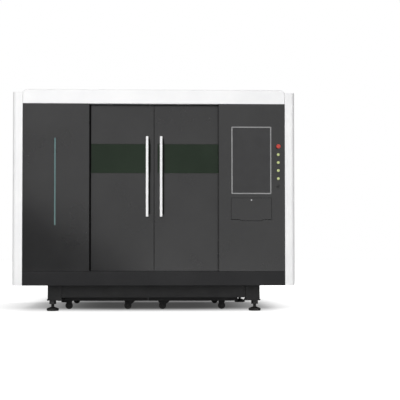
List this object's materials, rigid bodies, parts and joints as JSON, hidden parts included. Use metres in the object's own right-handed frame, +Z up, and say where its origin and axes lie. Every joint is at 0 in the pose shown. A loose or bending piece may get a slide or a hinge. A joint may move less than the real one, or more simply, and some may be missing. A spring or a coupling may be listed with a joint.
{
  "type": "fiber laser cutting machine",
  "caption": "Enclosed laser cutting machine with sliding doors and dark windows, operator console, gantry cutting head over a slat table, and slag carts on castors below.",
  "frame": {"origin": "middle of the footprint of the whole machine, on the floor", "axes": "+X to the operator's right, +Y to the rear, +Z up"},
  "size_m": [2.812, 2.06, 2.218],
  "materials": {
    "white_paint": "satin powder coat",
    "black_paint": "satin powder coat",
    "frame_paint": "matt paint",
    "foot_black": "blackened",
    "rail_steel": "ground",
    "slat_steel": "cut sheet with heat marks",
    "zinc_steel": "zinc plated",
    "machined_aluminium": "anodised",
    "head_anodised": "black anodised",
    "light_diffuser": "frosted",
    "screen_glass": "gloss",
    "bezel_grey": "satin",
    "black_plastic": "fine grain",
    "red_plastic": "gloss",
    "green_plastic": "gloss",
    "window_green": "dark green laser-safe sheet",
    "lock_chrome": "polished",
    "wheel_rubber": "matt",
    "nozzle_copper": "turned"
  },
  "bodies": {
    "machine": {"bed_legs": "frame_paint", "bed_side_beams": "frame_paint", "bed_cross_beams": "frame_paint", "base_ring": "frame_paint", "levelling_feet": "foot_black", "y_guides": "rail_steel", "slat_frame": "slat_steel", "support_slats": "slat_steel", "front_posts": "white_paint", "rear_posts": "white_paint", "header": "white_paint", "top_bands": "white_paint", "roof_panel": "white_paint", "side_panels": "black_paint", "rear_panels": "black_paint", "extraction_spigot": "zinc_steel", "front_panel_left": "black_paint", "console_panel": "black_paint", "front_sill": "black_paint", "door_tracks": "rail_steel", "led_strip": "light_diffuser", "touch_monitor": "screen_glass", "monitor_bezel": "bezel_grey", "button_collars": "black_plastic"},
    "left_door": {"door_left": "black_paint", "window_left": "window_green", "handle_left": "white_paint"},
    "right_door": {"door_right": "black_paint", "window_right": "window_green", "handle_right": "white_paint"},
    "gantry": {"gantry_beam": "machined_aluminium", "gantry_saddles": "machined_aluminium", "x_guides": "rail_steel"},
    "carriage": {"x_carriage": "machined_aluminium", "z_housing": "black_plastic", "z_motor": "black_plastic"},
    "head": {"laser_head": "head_anodised", "nozzle": "nozzle_copper"},
    "estop": {"estop_button": "red_plastic"},
    "button_1": {"push_button_1": "green_plastic"},
    "button_2": {"push_button_2": "green_plastic"},
    "button_3": {"push_button_3": "green_plastic"},
    "button_4": {"push_button_4": "green_plastic"},
    "key": {"key_switch": "black_plastic"},
    "flap": {"keyboard_flap": "black_paint"},
    "lock": {"flap_lock": "lock_chrome"},
    "left_cart": {"left_cart": "frame_paint"},
    "left_fixed_wheel_front": {"left_fixed_wheel_front": "wheel_rubber"},
    "left_swivel_fork_front": {"left_swivel_fork_front": "frame_paint"},
    "left_swivel_wheel_front": {"left_swivel_wheel_front": "wheel_rubber"},
    "left_fixed_wheel_rear": {"left_fixed_wheel_rear": "wheel_rubber"},
    "left_swivel_fork_rear": {"left_swivel_fork_rear": "frame_paint"},
    "left_swivel_wheel_rear": {"left_swivel_wheel_rear": "wheel_rubber"},
    "right_cart": {"right_cart": "frame_paint"},
    "right_fixed_wheel_front": {"right_fixed_wheel_front": "wheel_rubber"},
    "right_swivel_fork_front": {"right_swivel_fork_front": "frame_paint"},
    "right_swivel_wheel_front": {"right_swivel_wheel_front": "wheel_rubber"},
    "right_fixed_wheel_rear": {"right_fixed_wheel_rear": "wheel_rubber"},
    "right_swivel_fork_rear": {"right_swivel_fork_rear": "frame_paint"},
    "right_swivel_wheel_rear": {"right_swivel_wheel_rear": "wheel_rubber"}
  },
  "joints": [
    {"name": "left_door_slide", "type": "slide", "parent": "machine", "child": "left_door", "axis": [-1, 0, 0], "range_m": [0, 0.52]},
    {"name": "right_door_slide", "type": "slide", "parent": "machine", "child": "right_door", "axis": [1, 0, 0], "range_m": [0, 0.52]},
    {"name": "gantry_slide", "type": "slide", "parent": "machine", "child": "gantry", "axis": [0, -1, 0], "range_m": [0, 0.95]},
    {"name": "carriage_slide", "type": "slide", "parent": "gantry", "child": "carriage", "axis": [1, 0, 0], "range_m": [-0.65, 0.65]},
    {"name": "head_slide", "type": "slide", "parent": "carriage", "child": "head", "axis": [0, 0, -1], "range_m": [0, 0.12]},
    {"name": "estop_push", "type": "slide", "parent": "machine", "child": "estop", "axis": [0, 1, 0], "range_m": [0, 0.005], "stiffness_N_per_m": 2000},
    {"name": "button_1_push", "type": "slide", "parent": "machine", "child": "button_1", "axis": [0, 1, 0], "range_m": [0, 0.003], "stiffness_N_per_m": 1000},
    {"name": "button_2_push", "type": "slide", "parent": "machine", "child": "button_2", "axis": [0, 1, 0], "range_m": [0, 0.003], "stiffness_N_per_m": 1000},
    {"name": "button_3_push", "type": "slide", "parent": "machine", "child": "button_3", "axis": [0, 1, 0], "range_m": [0, 0.003], "stiffness_N_per_m": 1000},
    {"name": "button_4_push", "type": "slide", "parent": "machine", "child": "button_4", "axis": [0, 1, 0], "range_m": [0, 0.003], "stiffness_N_per_m": 1000},
    {"name": "key_turn", "type": "hinge", "parent": "machine", "child": "key", "pos_m": [1.241, -0.998, 1.249], "axis": [0, 1, 0], "range_deg": [0, 90]},
    {"name": "flap_hinge", "type": "hinge", "parent": "machine", "child": "flap", "pos_m": [0.972, -0.992, 0.912], "axis": [1, 0, 0], "range_deg": [0, 90]},
    {"name": "lock_turn", "type": "hinge", "parent": "flap", "child": "lock", "pos_m": [0.972, -0.998, 1.114], "axis": [0, 1, 0], "range_deg": [0, 90]},
    {"name": "left_cart_slide", "type": "slide", "parent": "machine", "child": "left_cart", "axis": [-1, 0, 0], "range_m": [0, 1.1]},
    {"name": "left_fixed_front_spin", "type": "hinge", "parent": "left_cart", "child": "left_fixed_wheel_front", "pos_m": [-0.882, -0.508, 0.0375], "axis": [0, 1, 0], "continuous": true},
    {"name": "left_swivel_front_turn", "type": "hinge", "parent": "left_cart", "child": "left_swivel_fork_front", "pos_m": [-0.235, -0.508, 0.0375], "axis": [0, 0, 1], "continuous": true},
    {"name": "left_swivel_front_spin", "type": "hinge", "parent": "left_swivel_fork_front", "child": "left_swivel_wheel_front", "pos_m": [-0.27, -0.508, 0.0375], "axis": [0, 1, 0], "continuous": true},
    {"name": "left_fixed_rear_spin", "type": "hinge", "parent": "left_cart", "child": "left_fixed_wheel_rear", "pos_m": [-0.882, 0.56, 0.0375], "axis": [0, 1, 0], "continuous": true},
    {"name": "left_swivel_rear_turn", "type": "hinge", "parent": "left_cart", "child": "left_swivel_fork_rear", "pos_m": [-0.235, 0.56, 0.0375], "axis": [0, 0, 1], "continuous": true},
    {"name": "left_swivel_rear_spin", "type": "hinge", "parent": "left_swivel_fork_rear", "child": "left_swivel_wheel_rear", "pos_m": [-0.27, 0.56, 0.0375], "axis": [0, 1, 0], "continuous": true},
    {"name": "right_cart_slide", "type": "slide", "parent": "machine", "child": "right_cart", "axis": [1, 0, 0], "range_m": [0, 1.1]},
    {"name": "right_fixed_front_spin", "type": "hinge", "parent": "right_cart", "child": "right_fixed_wheel_front", "pos_m": [0.708, -0.508, 0.0375], "axis": [0, 1, 0], "continuous": true},
    {"name": "right_swivel_front_turn", "type": "hinge", "parent": "right_cart", "child": "right_swivel_fork_front", "pos_m": [0.126, -0.508, 0.0375], "axis": [0, 0, 1], "continuous": true},
    {"name": "right_swivel_front_spin", "type": "hinge", "parent": "right_swivel_fork_front", "child": "right_swivel_wheel_front", "pos_m": [0.091, -0.508, 0.0375], "axis": [0, 1, 0], "continuous": true},
    {"name": "right_fixed_rear_spin", "type": "hinge", "parent": "right_cart", "child": "right_fixed_wheel_rear", "pos_m": [0.708, 0.56, 0.0375], "axis": [0, 1, 0], "continuous": true},
    {"name": "right_swivel_rear_turn", "type": "hinge", "parent": "right_cart", "child": "right_swivel_fork_rear", "pos_m": [0.126, 0.56, 0.0375], "axis": [0, 0, 1], "continuous": true},
    {"name": "right_swivel_rear_spin", "type": "hinge", "parent": "right_swivel_fork_rear", "child": "right_swivel_wheel_rear", "pos_m": [0.091, 0.56, 0.0375], "axis": [0, 1, 0], "continuous": true}
  ],
  "couplings": [
    {"joint": "left_fixed_front_spin", "follows": "left_cart_slide", "rad_per_m": -26.667},
    {"joint": "left_fixed_rear_spin", "follows": "left_cart_slide", "rad_per_m": -26.667},
    {"joint": "right_fixed_front_spin", "follows": "right_cart_slide", "rad_per_m": 26.667},
    {"joint": "right_fixed_rear_spin", "follows": "right_cart_slide", "rad_per_m": 26.667}
  ]
}
